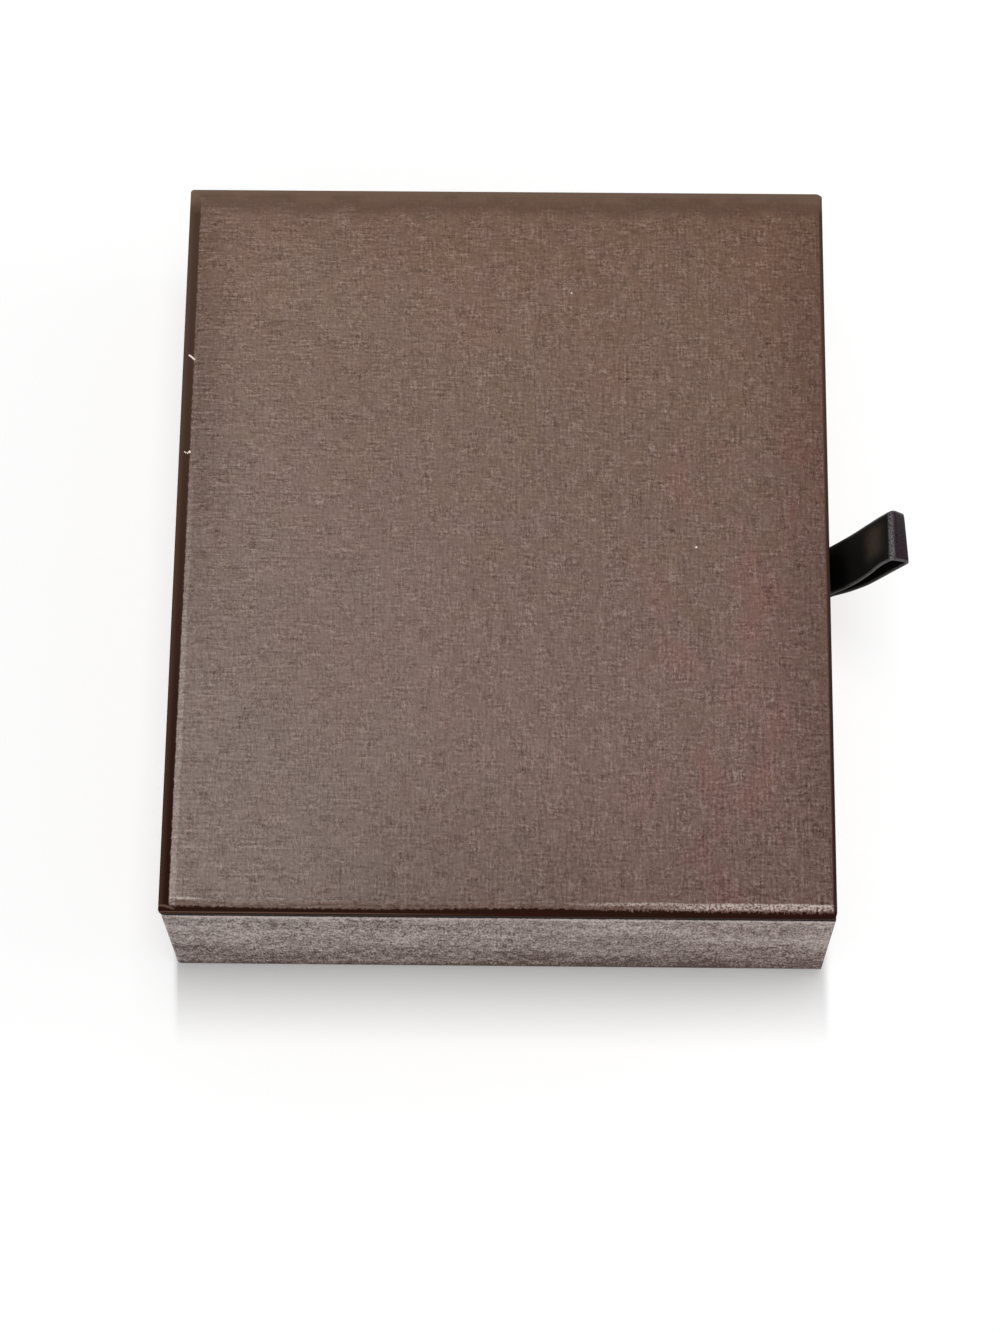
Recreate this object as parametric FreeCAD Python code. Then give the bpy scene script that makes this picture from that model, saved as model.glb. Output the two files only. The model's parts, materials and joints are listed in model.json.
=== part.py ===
import FreeCAD, Part
import math
import os

# Sliding drawer gift box: a rigid greyboard case wrapped in linen-embossed paper and open at one end, and a
# wrapped drawer that a ribbon loop pulls out of it.
# Millimetres. +X is the way the drawer opens, +Z is up, and the origin is the centre of the case's underside.

# ---- Case, outside ---------------------------------------------------------------------------------------
case_length = 127.0  # X, over the cover
case_width = 151.0  # Y, over the cover
case_height = 39.0  # Z, over all papers
cover_overhang = 0.1  # the cover stands out past the wrapped walls by this, all round
case_corner = 1.0  # radius of the wrapped upright corners at the closed end
case_foot = 0.7  # radius of the wrapped lower edges
case_board = 2.0

# ---- Cover: a board with a long bevel on its three closed sides --------------------------------------------
bevel_run = 2.0  # how far the bevel reaches in from the edge
bevel_drop = 1.3  # how far it falls over that run
bevel_belly = 18.0  # half the angle, in degrees, that the slightly rounded bevel turns through
cover_plan_corner = 0.6  # radius of the cover's closed corners, seen from above
cover_mouth_corner = 1.0  # the same at the open end, where fingers wear it
cover_mouth_edge = 0.6  # radius of the upper edge at the open end

# ---- Sheet goods -----------------------------------------------------------------------------------------
linen_paper = 0.2
lining_paper = 0.15
stay_tape = 0.1
turn_in = 15.0  # width of the flaps that the wraps turn under or in
floor_flap = 10.0  # width of the flaps that the wraps turn onto a floor, inside
mitre_gap = 0.3  # between neighbouring flaps, along the mitre where they meet
stay_leg = 12.0  # how far a corner stay reaches along each wall
stay_end_gap = 1.0  # how far a corner stay ends short of its wall's top and bottom
base_sheet_margin = 1.5  # how far the base sheet ends short of the lower edges' curve
lining_margin = 0.25  # how far a lining sheet ends short of the walls
mouth_margin = 2.0  # how far the linings end short of the open end
soft_edge = 0.15  # radius of the paper's own turned edges

# ---- Drawer ----------------------------------------------------------------------------------------------
drawer_board = 2.0
drawer_corner = 1.0
drawer_foot = 0.6
side_clearance = 0.6  # drawer to case, each side
top_clearance = 0.7
under_clearance = 0.1  # the drawer slides on the case's floor lining
end_clearance = 0.3
front_recess = 0.3  # the closed drawer's face lies this far inside the case's open end
floor_card = 1.0
floor_cover = 0.3  # flocked paper round the floor card
card_clearance = 0.4  # cards to the drawer's walls
pull_end_card = 1.2  # the card that hides the ribbon's glued ends
pull_end_card_gap = 1.0  # that card's upper edge, below the drawer's rim

# ---- Pull ribbon -----------------------------------------------------------------------------------------
ribbon_width = 10.0
ribbon_thickness = 0.6
slot_clearance = 0.3  # round the doubled ribbon, in the slot
tail_length = 11.0  # of each glued end, past its bend
tail_bend = 0.6  # radius of that bend, at mid-thickness
slot_rise = 1.0  # height of the slot's middle above the case's mid-height
knuckle_gap = 0.3  # between the drawer's face and the loop's root
loop_lift = 57.4  # the direction from the loop's root to its tip, above the horizontal, in degrees
loop_length = 24.6  # root to tip, over the ribbon's mid-thickness
upper_dip_at = 5.0  # the upper leg runs nearest to the root-to-tip line here,
upper_dip = 0.15  # this far above it,
upper_swell_at = 16.0  # and has swollen out to here,
upper_swell = 1.25  # this far above it,
upper_shoulder = 2.2  # before it reaches its shoulder at this height
lower_bow_at = 10.5  # the lower leg bows out most here,
lower_bow = 2.25  # this far below the root-to-tip line,
lower_shoulder = 1.7  # and comes back to its shoulder at this depth
tip_bend = 0.9  # radius of the two bends at the tip, at mid-thickness


def V(x, y, z):
    return FreeCAD.Vector(x, y, z)


def block(x, y, z):
    """A box from three (low, high) pairs."""
    return Part.makeBox(x[1] - x[0], y[1] - y[0], z[1] - z[0], V(x[0], y[0], z[0]))


def grown(span, by):
    """A (low, high) pair, moved outward by the same amount at both ends."""
    return (span[0] - by, span[1] + by)


def soften(shape, radius, wanted):
    """Rounds the edges for which wanted(bounding box) is true."""
    edges = [e for e in shape.Edges if wanted(e.BoundBox)]
    return shape.makeFillet(radius, edges)


def at(low, high, place):
    """Whether a bounding box's two limits both lie at a place."""
    return abs(low - place) < 1e-4 and abs(high - place) < 1e-4


def plate(x, y, z, corner_low, corner_high):
    """A flat plate whose upright corners are rounded: corner_low at the low X end, corner_high at the high one."""
    shape = block(x, y, z)
    for place, radius in ((x[0], corner_low), (x[1], corner_high)):
        if radius > 0:
            shape = soften(shape, radius, lambda b: at(b.XMin, b.XMax, place) and b.ZLength > 0.5 * (z[1] - z[0]))
    return shape


def tray_form(x, y, z, corner_low, corner_high, foot):
    """The outer form of a tray: rounded upright corners and rounded lower edges."""
    shape = plate(x, y, z, corner_low, corner_high)
    return soften(shape, foot, lambda b: at(b.ZMin, b.ZMax, z[0]))


def one_solid(shape):
    """The single solid of a shape, with its coplanar faces merged."""
    merged = shape.removeSplitter()
    if len(merged.Solids) != 1:
        raise ValueError("expected one solid, found %d" % len(merged.Solids))
    return merged.Solids[0]


def mitred(flaps, x, y):
    """Flaps turned in round a rectangle, slit along the mitres of its four corners."""
    height = (0, case_height)
    slit = block((0, turn_in * 2), (-mitre_gap / 2, mitre_gap / 2), height)
    for turn, corner in enumerate(((x[0], y[0]), (x[1], y[0]), (x[1], y[1]), (x[0], y[1]))):
        flaps = flaps.cut(slit.rotated(V(0, 0, 0), V(0, 0, 1), 45 + 90 * turn).translated(V(*corner, 0)))
    return flaps


def corner_stays(form, inner_form, corners, x, y, z):
    """Paper tape round the upright corners of a tray's boards, pressed flush into them."""
    skin = form.cut(inner_form)
    height = grown(z, -stay_end_gap)
    stays = []
    for x_side, y_side in corners:
        x_reach = (x[0] - 1, x[0] + stay_leg) if x_side < 0 else (x[1] - stay_leg, x[1] + 1)
        y_reach = (y[0] - 1, y[0] + stay_leg) if y_side < 0 else (y[1] - stay_leg, y[1] + 1)
        stays.append(one_solid(skin.common(block(x_reach, y_reach, height))))
    return stays


# ---- Places worked out from the sizes ----------------------------------------------------------------------
# Each (low, high) pair is a span along one axis.
case_x = grown((-case_length / 2, case_length / 2), -cover_overhang)  # over the wrapped walls
case_y = grown((-case_width / 2, case_width / 2), -cover_overhang)
cover_under = case_height - linen_paper - case_board  # underside of the cover's board
case_board_x = grown(case_x, -linen_paper)
case_board_y = grown(case_y, -linen_paper)
case_board_z = (linen_paper, cover_under - linen_paper)  # above the base sheet, below the walls' top paper
case_wall = case_board + 2 * linen_paper  # a wrapped wall
case_floor = linen_paper + case_board  # top of the bottom board
cavity_x = (case_x[0] + case_wall, case_x[1])
cavity_y = grown(case_y, -case_wall)
cavity_z = (case_floor + lining_paper, cover_under - lining_paper)

drawer_x = (cavity_x[0] + end_clearance, case_x[1] - front_recess)
drawer_y = grown(cavity_y, -side_clearance)
drawer_z = (cavity_z[0] + under_clearance, cavity_z[1] - top_clearance)
drawer_board_x = grown(drawer_x, -linen_paper)
drawer_board_y = grown(drawer_y, -linen_paper)
drawer_board_z = grown(drawer_z, -linen_paper)
drawer_wall = drawer_board + 2 * linen_paper
drawer_floor = drawer_board_z[0] + drawer_board  # top of the drawer's base board
tray_x = grown(drawer_x, -drawer_wall)  # inside the drawer's wrapped walls
tray_y = grown(drawer_y, -drawer_wall)

slot_z = case_height / 2 + slot_rise  # height of the ribbon's slot
slot_height = 2 * (ribbon_thickness + slot_clearance)
slot_width = ribbon_width + 2 * slot_clearance
knuckle_x = drawer_x[1] + knuckle_gap + ribbon_thickness  # the line about which the loop folds


# ---- Case ------------------------------------------------------------------------------------------------
def case_boards_and_wrap():
    """Bottom, front, back and end boards, their two corner stays, and the one paper that wraps them."""
    form = tray_form(case_x, case_y, (linen_paper, cover_under), case_corner, 0, case_foot)
    board_form = tray_form(
        case_board_x, case_board_y, case_board_z, case_corner - linen_paper, 0, case_foot - linen_paper
    )
    inner_x = (case_board_x[0] + case_board, case_board_x[1] + 1)
    inner_y = grown(case_board_y, -case_board)
    above = (case_floor, case_height)
    cavity = block((cavity_x[0], case_length), cavity_y, above)

    under_flaps = board_form.common(block(case_x, case_y, (linen_paper, 2 * linen_paper)))
    under_flaps = under_flaps.cut(block(grown(case_x, -turn_in), grown(case_y, -turn_in), (0, case_floor)))
    floor_span = (inner_x[0], case_board_x[1])
    floor_flaps = block(floor_span, inner_y, (case_floor - linen_paper, case_floor))
    floor_window = ((inner_x[0] + floor_flap, case_board_x[1] - turn_in), grown(inner_y, -floor_flap))
    floor_flaps = floor_flaps.cut(block(floor_window[0], floor_window[1], (0, case_height)))

    walls = board_form.cut(block(inner_x, inner_y, above))
    wrap = form.cut(walls).cut(cavity)
    wrap = wrap.fuse(mitred(under_flaps, case_board_x, case_board_y))
    wrap = one_solid(wrap.fuse(mitred(floor_flaps, floor_span, inner_y)))
    wrap = soften(wrap, soft_edge, lambda b: at(b.ZMin, b.ZMax, cover_under) and b.DiagonalLength > 5 * case_board)

    tape_form = plate(
        grown(case_board_x, -stay_tape),
        grown(case_board_y, -stay_tape),
        case_board_z,
        case_corner - linen_paper - stay_tape,
        0,
    )
    stays = corner_stays(
        board_form, tape_form, ((-1, -1), (-1, 1)), case_board_x, case_board_y, (case_floor, case_board_z[1])
    )

    boards = board_form.cut(under_flaps).cut(floor_flaps)
    for stay in stays:
        boards = boards.cut(stay)
    upright = (case_floor, case_board_z[1])
    whole_x = grown(case_board_x, 1)
    return {
        "case_bottom_board": boards.common(block(whole_x, grown(case_y, 1), (0, case_floor))),
        "case_front_board": boards.common(block(whole_x, (case_y[0], inner_y[0]), upright)),
        "case_back_board": boards.common(block(whole_x, (inner_y[1], case_y[1]), upright)),
        "case_end_board": boards.common(block((case_x[0], inner_x[0]), inner_y, upright)),
        "case_corner_stays": Part.makeCompound(stays),
        "case_wrap_paper": wrap,
    }


def base_sheet():
    """The flat sheet pasted under the case over the wrap's turned-under flaps."""
    inset = case_foot + base_sheet_margin
    return block(grown(case_x, -inset), grown(case_y, -inset), (0, linen_paper))


def case_floor_lining():
    """The smooth paper on the case's floor, which the drawer slides on."""
    x = (cavity_x[0] + lining_margin, cavity_x[1] - mouth_margin)
    return block(x, grown(cavity_y, -lining_margin), (case_floor, cavity_z[0]))


def bevel(edge, top, inward):
    """The cover's bevelled edge: from the top face, over a shallow bellied slope, to the upright edge.
    inward is +1 or -1, the way from the edge to the cover's middle. Points are (across, up)."""
    start, end = (edge + inward * bevel_run, top), (edge, top - bevel_drop)
    chord = math.hypot(bevel_run, bevel_drop)
    belly = chord / 2 * math.tan(math.radians(bevel_belly) / 2)
    middle = (
        (start[0] + end[0]) / 2 - inward * belly * bevel_drop / chord,
        (start[1] + end[1]) / 2 + belly * bevel_run / chord,
    )
    return start, middle, end


def section(points_to_place, path):
    """A face from a path of straight runs and arcs. A path entry is ("line", end) or ("arc", middle, end)."""
    here = path[0]
    edges = []
    for kind, *points in path[1:]:
        placed = [points_to_place(*p) for p in (here, *points)]
        if kind == "line":
            edges.append(Part.LineSegment(*placed).toShape())
        else:
            edges.append(Part.Arc(*placed).toShape())
        here = points[-1]
    return Part.Face(Part.Wire(edges))


def cover_form(skin):
    """The cover's board, or with its paper where skin is the paper's thickness: the common part of a section
    along the case, one across it and its outline from above."""
    top, under = case_height - linen_paper, cover_under
    left, right = -case_length / 2 + linen_paper, case_length / 2 - linen_paper
    near, far = -case_width / 2 + linen_paper, case_width / 2 - linen_paper

    start, middle, end = bevel(far, top, -1)
    start_near, middle_near, end_near = bevel(near, top, 1)
    across = section(
        lambda a, b: V(left - 1, a, b),
        [
            (near, under),
            ("line", (far, under)),
            ("line", end),
            ("arc", middle, start),
            ("line", start_near),
            ("arc", middle_near, end_near),
            ("line", (near, under)),
        ],
    )
    start, middle, end = bevel(left, top, 1)
    round_start = (right - cover_mouth_edge, top)
    round_middle = (
        right - cover_mouth_edge * (1 - math.sin(math.pi / 4)),
        top - cover_mouth_edge * (1 - math.cos(math.pi / 4)),
    )
    along = section(
        lambda a, b: V(a, near - 1, b),
        [
            (left, under),
            ("line", (right, under)),
            ("line", (right, top - cover_mouth_edge)),
            ("arc", round_middle, round_start),
            ("line", start),
            ("arc", middle, end),
            ("line", (left, under)),
        ],
    )
    if skin > 0:
        across, along = across.makeOffset2D(skin), along.makeOffset2D(skin)
    outline = plate(
        grown((left, right), skin),
        grown((near, far), skin),
        (under, top + skin),
        cover_plan_corner + skin,
        cover_mouth_corner + skin,
    )
    run = across.extrude(V(right - left + 2, 0, 0))
    return run.common(along.extrude(V(0, far - near + 2, 0))).common(outline)


def cover():
    """The cover's board, the linen paper that wraps it, and the lining on its underside."""
    board = cover_form(0)
    low = (cover_under, cover_under + linen_paper)
    far_out = case_length + case_width
    flaps = board.common(block((-far_out, far_out), (-far_out, far_out), low))
    window_x = grown((-case_length / 2, case_length / 2), -turn_in)
    window_y = grown((-case_width / 2, case_width / 2), -turn_in)
    flaps = flaps.cut(block(window_x, window_y, (0, case_height)))
    board_x = grown((-case_length / 2, case_length / 2), -linen_paper)
    board_y = grown((-case_width / 2, case_width / 2), -linen_paper)
    paper = one_solid(cover_form(linen_paper).cut(board).fuse(mitred(flaps, board_x, board_y)))
    paper = soften(paper, soft_edge, lambda b: at(b.ZMin, b.ZMax, cover_under) and on_cover_edge(b))
    lining_x = (cavity_x[0] + lining_margin, cavity_x[1] - mouth_margin)
    return {
        "cover_board": one_solid(board.cut(flaps)),
        "cover_paper": paper,
        "cover_lining": block(lining_x, grown(cavity_y, -lining_margin), (cavity_z[1], cover_under)),
    }


def on_cover_edge(b):
    """Whether an edge's bounding box reaches the outline of the cover."""
    reach_x = max(abs(b.XMin), abs(b.XMax)) > case_length / 2 - 1e-4
    reach_y = max(abs(b.YMin), abs(b.YMax)) > case_width / 2 - 1e-4
    return reach_x or reach_y


# ---- Drawer ----------------------------------------------------------------------------------------------
def ribbon_slot():
    """The slot through the drawer's pull end."""
    half_width, half_height = slot_width / 2, slot_height / 2
    return block(
        (tray_x[1] - 1, drawer_x[1] + 1),
        (-half_width, half_width),
        (slot_z - half_height, slot_z + half_height),
    )


def drawer_boards_and_wrap():
    """Base, two side, rear and pull-end boards, their four corner stays, and the paper that wraps them."""
    corner, foot = drawer_corner, drawer_foot
    form = tray_form(drawer_x, drawer_y, drawer_z, corner, corner, foot)
    board_form = tray_form(
        drawer_board_x,
        drawer_board_y,
        drawer_board_z,
        corner - linen_paper,
        corner - linen_paper,
        foot - linen_paper,
    )
    inner_x = grown(drawer_board_x, -drawer_board)
    inner_y = grown(drawer_board_y, -drawer_board)
    above = (drawer_floor, case_height)
    slot = ribbon_slot()

    floor_flaps = block(inner_x, inner_y, (drawer_floor - linen_paper, drawer_floor))
    floor_flaps = floor_flaps.cut(
        block(grown(inner_x, -floor_flap), grown(inner_y, -floor_flap), (0, case_height))
    )
    walls = board_form.cut(block(inner_x, inner_y, above))
    wrap = form.cut(walls).cut(block(tray_x, tray_y, above))
    wrap = one_solid(wrap.fuse(mitred(floor_flaps, inner_x, inner_y)).cut(slot))
    wrap = soften(wrap, soft_edge, lambda b: at(b.ZMin, b.ZMax, drawer_z[1]))

    tape_corner = corner - linen_paper - stay_tape
    tape_form = plate(
        grown(drawer_board_x, -stay_tape),
        grown(drawer_board_y, -stay_tape),
        drawer_board_z,
        tape_corner,
        tape_corner,
    )
    corners = ((-1, -1), (-1, 1), (1, -1), (1, 1))
    upright = (drawer_floor, drawer_board_z[1])
    stays = corner_stays(board_form, tape_form, corners, drawer_board_x, drawer_board_y, upright)

    boards = board_form.cut(floor_flaps).cut(slot)
    for stay in stays:
        boards = boards.cut(stay)
    whole_x = grown(drawer_x, 1)
    return {
        "drawer_base_board": boards.common(block(whole_x, grown(drawer_y, 1), (0, drawer_floor))),
        "drawer_near_board": boards.common(block(whole_x, (drawer_y[0], inner_y[0]), upright)),
        "drawer_far_board": boards.common(block(whole_x, (inner_y[1], drawer_y[1]), upright)),
        "drawer_rear_board": boards.common(block((drawer_x[0], inner_x[0]), inner_y, upright)),
        "drawer_pull_board": boards.common(block((inner_x[1], drawer_x[1]), inner_y, upright)),
        "drawer_corner_stays": Part.makeCompound(stays),
        "drawer_wrap_paper": wrap,
    }


def drawer_floor_pieces():
    """The card on the drawer's floor and the flocked paper round it, turned under its edges."""
    x, y = grown(tray_x, -card_clearance), grown(tray_y, -card_clearance)
    z = (drawer_floor, drawer_floor + floor_card + floor_cover)
    card_x, card_y = grown(x, -floor_cover), grown(y, -floor_cover)
    card = block(card_x, card_y, (z[0], z[1] - floor_cover))
    turned = card.common(block(card_x, card_y, (z[0], z[0] + floor_cover)))
    turned = turned.cut(block(grown(card_x, -floor_flap), grown(card_y, -floor_flap), z))
    cover_piece = one_solid(block(x, y, z).cut(card).fuse(mitred(turned, card_x, card_y)))
    upper = soften(cover_piece, soft_edge, lambda b: at(b.ZMin, b.ZMax, z[1]))
    return {"drawer_floor_card": one_solid(card.cut(turned)), "drawer_floor_cover": upper}


def swept_ribbon(edges):
    """A ribbon that follows a mid-line in an XZ plane at y = 0."""
    path = Part.Wire(edges)
    start = path.Edges[0].firstVertex().Point
    along = path.Edges[0].tangentAt(path.Edges[0].FirstParameter)
    across = V(-along.z, 0, along.x) * (ribbon_thickness / 2)
    half_width = V(0, ribbon_width / 2, 0)
    corners = [
        start - across - half_width,
        start - across + half_width,
        start + across + half_width,
        start + across - half_width,
    ]
    return path.makePipeShell([Part.makePolygon(corners + corners[:1])], True, False)


def line(start, end):
    return Part.LineSegment(start, end).toShape()


def quarter_bend(start, corner, end):
    """A quarter circle from start to end whose tangents meet at the corner."""
    centre = start + end - corner
    radius = (corner - start).Length
    middle = centre + (corner - centre).normalize() * radius
    return Part.Arc(start, middle, end).toShape()


def ribbon_tail(way):
    """One glued ribbon end: straight through the slot, then turned up (way +1) or down (-1) the card inside."""
    level = slot_z + way * ribbon_thickness / 2
    glued_x = tray_x[1] - ribbon_thickness / 2
    out, corner = V(drawer_x[1], 0, level), V(glued_x, 0, level)
    bend_start, bend_end = corner + V(tail_bend, 0, 0), corner + V(0, 0, way * tail_bend)
    return swept_ribbon(
        [
            line(out, bend_start),
            quarter_bend(bend_start, corner, bend_end),
            line(bend_end, bend_end + V(0, 0, way * tail_length)),
        ]
    )


def pull_card():
    """The card that covers the ribbon's ends inside the pull end. Its back has a pocket for them."""
    x = (tray_x[1] - pull_end_card, tray_x[1])
    z = (drawer_floor + floor_card + floor_cover + card_clearance, drawer_z[1] - pull_end_card_gap)
    card = block(x, grown(tray_y, -card_clearance), z)
    reach = tail_bend + tail_length + ribbon_thickness / 2 + slot_clearance
    pocket = block(
        (tray_x[1] - ribbon_thickness, tray_x[1] + 1),
        (-slot_width / 2, slot_width / 2),
        (slot_z - reach, slot_z + reach),
    )
    return one_solid(card.cut(pocket))


# ---- Pull ribbon -----------------------------------------------------------------------------------------
def loop_leg(root, middle_points, shoulder):
    """One leg of the loop, drawn level: a smooth curve from the root through its middle points to the shoulder,
    then a quarter bend and half of the square tip. Points are (along, up) from the root."""
    side = 1 if shoulder > 0 else -1
    start = root + V(0, 0, side * ribbon_thickness / 2)
    corner = root + V(loop_length, 0, shoulder)
    bend_start, bend_end = corner - V(tip_bend, 0, 0), corner - V(0, 0, side * tip_bend)
    curve = Part.BSplineCurve()
    points = [start] + [root + V(along, 0, up) for along, up in middle_points] + [bend_start]
    curve.interpolate(Points=points)
    return swept_ribbon(
        [
            curve.toShape(),
            quarter_bend(bend_start, corner, bend_end),
            line(bend_end, root + V(loop_length, 0, 0)),
        ]
    )


def ribbon_loop():
    """The loop outside the drawer: an upper leg that dips and swells, a lower one that bows out, and a square
    tip. It is drawn level, then turned up about the rounded root that folds at the slot."""
    root = V(knuckle_x, 0, slot_z)
    upper = loop_leg(root, [(upper_dip_at, upper_dip), (upper_swell_at, upper_swell)], upper_shoulder)
    lower = loop_leg(root, [(lower_bow_at, -lower_bow)], -lower_shoulder)
    knuckle = Part.makeCylinder(ribbon_thickness, ribbon_width, root - V(0, ribbon_width / 2, 0), V(0, 1, 0))
    loop = one_solid(upper.fuse([lower, knuckle]))
    loop.rotate(root, V(0, 1, 0), -loop_lift)
    return loop


def build():
    nodes = {
        "case_base_sheet": base_sheet(),
        "case_floor_lining": case_floor_lining(),
        "pull_end_card": pull_card(),
        "ribbon_tails": Part.makeCompound([ribbon_tail(1), ribbon_tail(-1)]),
        "ribbon_loop": ribbon_loop(),
    }
    nodes.update(case_boards_and_wrap())
    nodes.update(cover())
    nodes.update(drawer_boards_and_wrap())
    nodes.update(drawer_floor_pieces())
    return nodes


os.makedirs("parts", exist_ok=True)
for name, shape in build().items():
    print(name, len(shape.Solids), round(shape.Volume, 1), shape.isValid())
    shape.exportStep("parts/%s.step" % name)
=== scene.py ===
# %% [markdown]
# # A sliding drawer gift box
# The box is a greyboard case wrapped in linen-embossed brown paper. A drawer slides out of its right-hand
# end, pulled by a loop of black ribbon. The boards and papers come packed from the CAD model and stay where
# they are. Here they get their finishes, and two pieces get a mesh of their own: the paper skin of the cover
# and the ribbon.

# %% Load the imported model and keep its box
import json
import math

import bpy
import numpy as np
from mathutils import Matrix, Vector


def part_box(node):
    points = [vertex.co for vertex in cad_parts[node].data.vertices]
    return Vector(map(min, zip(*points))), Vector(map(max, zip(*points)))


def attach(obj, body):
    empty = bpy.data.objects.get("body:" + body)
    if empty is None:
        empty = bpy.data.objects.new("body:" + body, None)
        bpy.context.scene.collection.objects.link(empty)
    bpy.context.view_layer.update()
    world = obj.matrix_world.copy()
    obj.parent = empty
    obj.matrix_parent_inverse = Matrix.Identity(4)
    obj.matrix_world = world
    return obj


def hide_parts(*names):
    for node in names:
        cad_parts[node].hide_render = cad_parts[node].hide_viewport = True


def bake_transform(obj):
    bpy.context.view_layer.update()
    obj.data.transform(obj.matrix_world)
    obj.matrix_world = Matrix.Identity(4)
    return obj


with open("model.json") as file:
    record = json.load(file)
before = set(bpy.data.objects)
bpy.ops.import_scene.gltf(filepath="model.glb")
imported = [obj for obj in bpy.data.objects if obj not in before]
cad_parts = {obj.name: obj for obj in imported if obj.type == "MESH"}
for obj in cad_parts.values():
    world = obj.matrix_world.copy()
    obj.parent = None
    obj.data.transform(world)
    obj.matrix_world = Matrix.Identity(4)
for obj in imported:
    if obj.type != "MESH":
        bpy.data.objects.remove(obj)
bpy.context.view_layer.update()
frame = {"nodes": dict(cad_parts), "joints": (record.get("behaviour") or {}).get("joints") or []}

MM = 0.001
nodes = frame["nodes"]

# %% [markdown]
# ## The camera
# The box is seen from above and a little in front, with the picture upright. A camera can be aimed with a
# constraint, but a matrix built from its azimuth, elevation and roll says the same thing in plain numbers.

# %% Place the camera
CAMERA_AZIMUTH = math.radians(1.77)
CAMERA_ELEVATION = math.radians(70.35)
CAMERA_ROLL = math.radians(-1.18)
CAMERA_AT = Vector((0.00692, -0.25112, 0.66877))
LENS = 94.5


def aim(azimuth, elevation, roll, position):
    """A camera's matrix: its back axis points away from the subject and its side axis is level. The side and
    up axes are then turned by the roll about the back axis."""
    level = math.cos(elevation)
    back = Vector((math.sin(azimuth) * level, -math.cos(azimuth) * level, math.sin(elevation)))
    side = Vector((0, 0, 1)).cross(back).normalized()
    up = back.cross(side)
    side, up = (
        math.cos(roll) * side + math.sin(roll) * up,
        math.cos(roll) * up - math.sin(roll) * side,
    )
    return Matrix.Translation(position) @ Matrix((side, up, back)).transposed().to_4x4()


scene = bpy.context.scene
camera = bpy.data.objects.new("camera", bpy.data.cameras.new("camera"))
scene.collection.objects.link(camera)
camera.data.lens = LENS
camera.data.clip_start = 0.01
camera.matrix_world = aim(CAMERA_AZIMUTH, CAMERA_ELEVATION, CAMERA_ROLL, CAMERA_AT)
scene.camera = camera
scene.view_settings.view_transform = "Standard"
print("camera at", [round(c, 3) for c in camera.location])

# %% [markdown]
# ## A small language for shaders
# Wiring Math nodes by hand hides the formula. A class that wraps a socket and overloads the operators lets a
# pattern be written as the sum it is. Each operator adds one Math node. Colours go through Mix nodes instead.


# %% Wrap sockets so that maths reads as maths
class Field:
    """A number that varies over a surface: one output socket and the shader that it belongs to."""

    def __init__(self, shader, socket):
        self.shader = shader
        self.socket = socket

    def maths(self, operation, *others):
        return self.shader.node("ShaderNodeMath", {"operation": operation}, (self, *others))

    def __add__(self, other):
        return self.maths("ADD", other)

    def __sub__(self, other):
        return self.maths("SUBTRACT", other)

    def __rsub__(self, other):
        return self.shader.number(other).maths("SUBTRACT", self)

    def __mul__(self, other):
        return self.maths("MULTIPLY", other)

    def __abs__(self):
        return self.maths("ABSOLUTE")

    __radd__ = __add__
    __rmul__ = __mul__

    def sine(self):
        return self.maths("SINE")

    def smaller(self, other):
        return self.maths("MINIMUM", other)

    def larger(self, other):
        return self.maths("MAXIMUM", other)

    def rise(self, low, high):
        """0 below low, 1 above high, and a smooth step between."""
        values = {"Value": self, "From Min": low, "From Max": high}
        return self.shader.node("ShaderNodeMapRange", {"interpolation_type": "SMOOTHSTEP"}, values)

    def near(self, middle, full, none):
        """1 within the distance full of a middle, 0 beyond the distance none, and a smooth step between."""
        return 1.0 - abs(self - middle).rise(full, none)


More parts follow.
